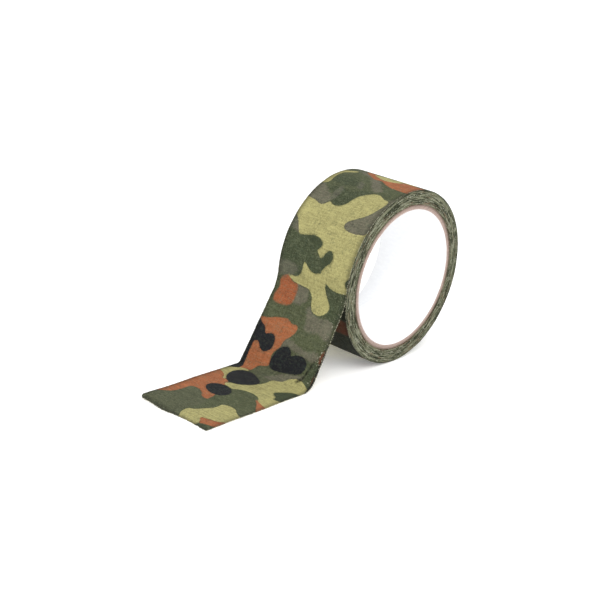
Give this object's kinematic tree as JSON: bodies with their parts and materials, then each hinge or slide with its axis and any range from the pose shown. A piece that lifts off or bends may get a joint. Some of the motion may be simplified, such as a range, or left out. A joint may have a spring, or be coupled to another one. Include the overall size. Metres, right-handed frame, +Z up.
{
  "type": "duct tape roll",
  "caption": "Roll of printed cloth tape wound on a paperboard core, standing on its edge with a free tail peeled off, creased and laid flat.",
  "frame": {"origin": "middle of the whole object's footprint, on the surface that the roll stands on", "axes": "+Z up; Y along the roll's own axis and across the tape; the free tail runs out towards -X from the roll"},
  "size_m": [0.1904, 0.048, 0.0978],
  "materials": {
    "liner_paper": "matte",
    "core_board": "matte",
    "tape_edges": "matte",
    "camo_cloth": "matte",
    "adhesive": "satin"
  },
  "bodies": {
    "bend": {"bend_cloth": "camo_cloth", "bend_adhesive": "adhesive"},
    "roll": {"core_paper_liner": "liner_paper", "core_board_ply_inner": "core_board", "core_board_ply_middle": "core_board", "core_board_ply_outer": "core_board", "wound_turns": "tape_edges", "outer_turn": "camo_cloth"},
    "lead": {"lead_cloth": "camo_cloth", "lead_adhesive": "adhesive"},
    "tail": {"tail_cloth": "camo_cloth", "tail_adhesive": "adhesive"},
    "tail_end": {"tail_end_cloth": "camo_cloth", "tail_end_adhesive": "adhesive"}
  },
  "joints": [
    {"name": "roll_spin", "type": "hinge", "parent": "bend", "child": "roll", "pos_m": [0.0463, 0, 0.0489], "axis": [0, 1, 0], "continuous": true},
    {"name": "lead_swing", "type": "hinge", "parent": "bend", "child": "lead", "pos_m": [-0.00524, 0, 0.0382], "axis": [0, 1, 0], "range_deg": [-30, 64]},
    {"name": "crease_fold", "type": "hinge", "parent": "lead", "child": "tail", "pos_m": [-0.02462, 0, 0.00016], "axis": [-0.0789, 0.9969, 0], "range_deg": [-60, 45]},
    {"name": "end_lift", "type": "hinge", "parent": "tail", "child": "tail_end", "pos_m": [-0.0672, 0, 0.00016], "axis": [0, 1, 0], "range_deg": [0, 60]}
  ]
}
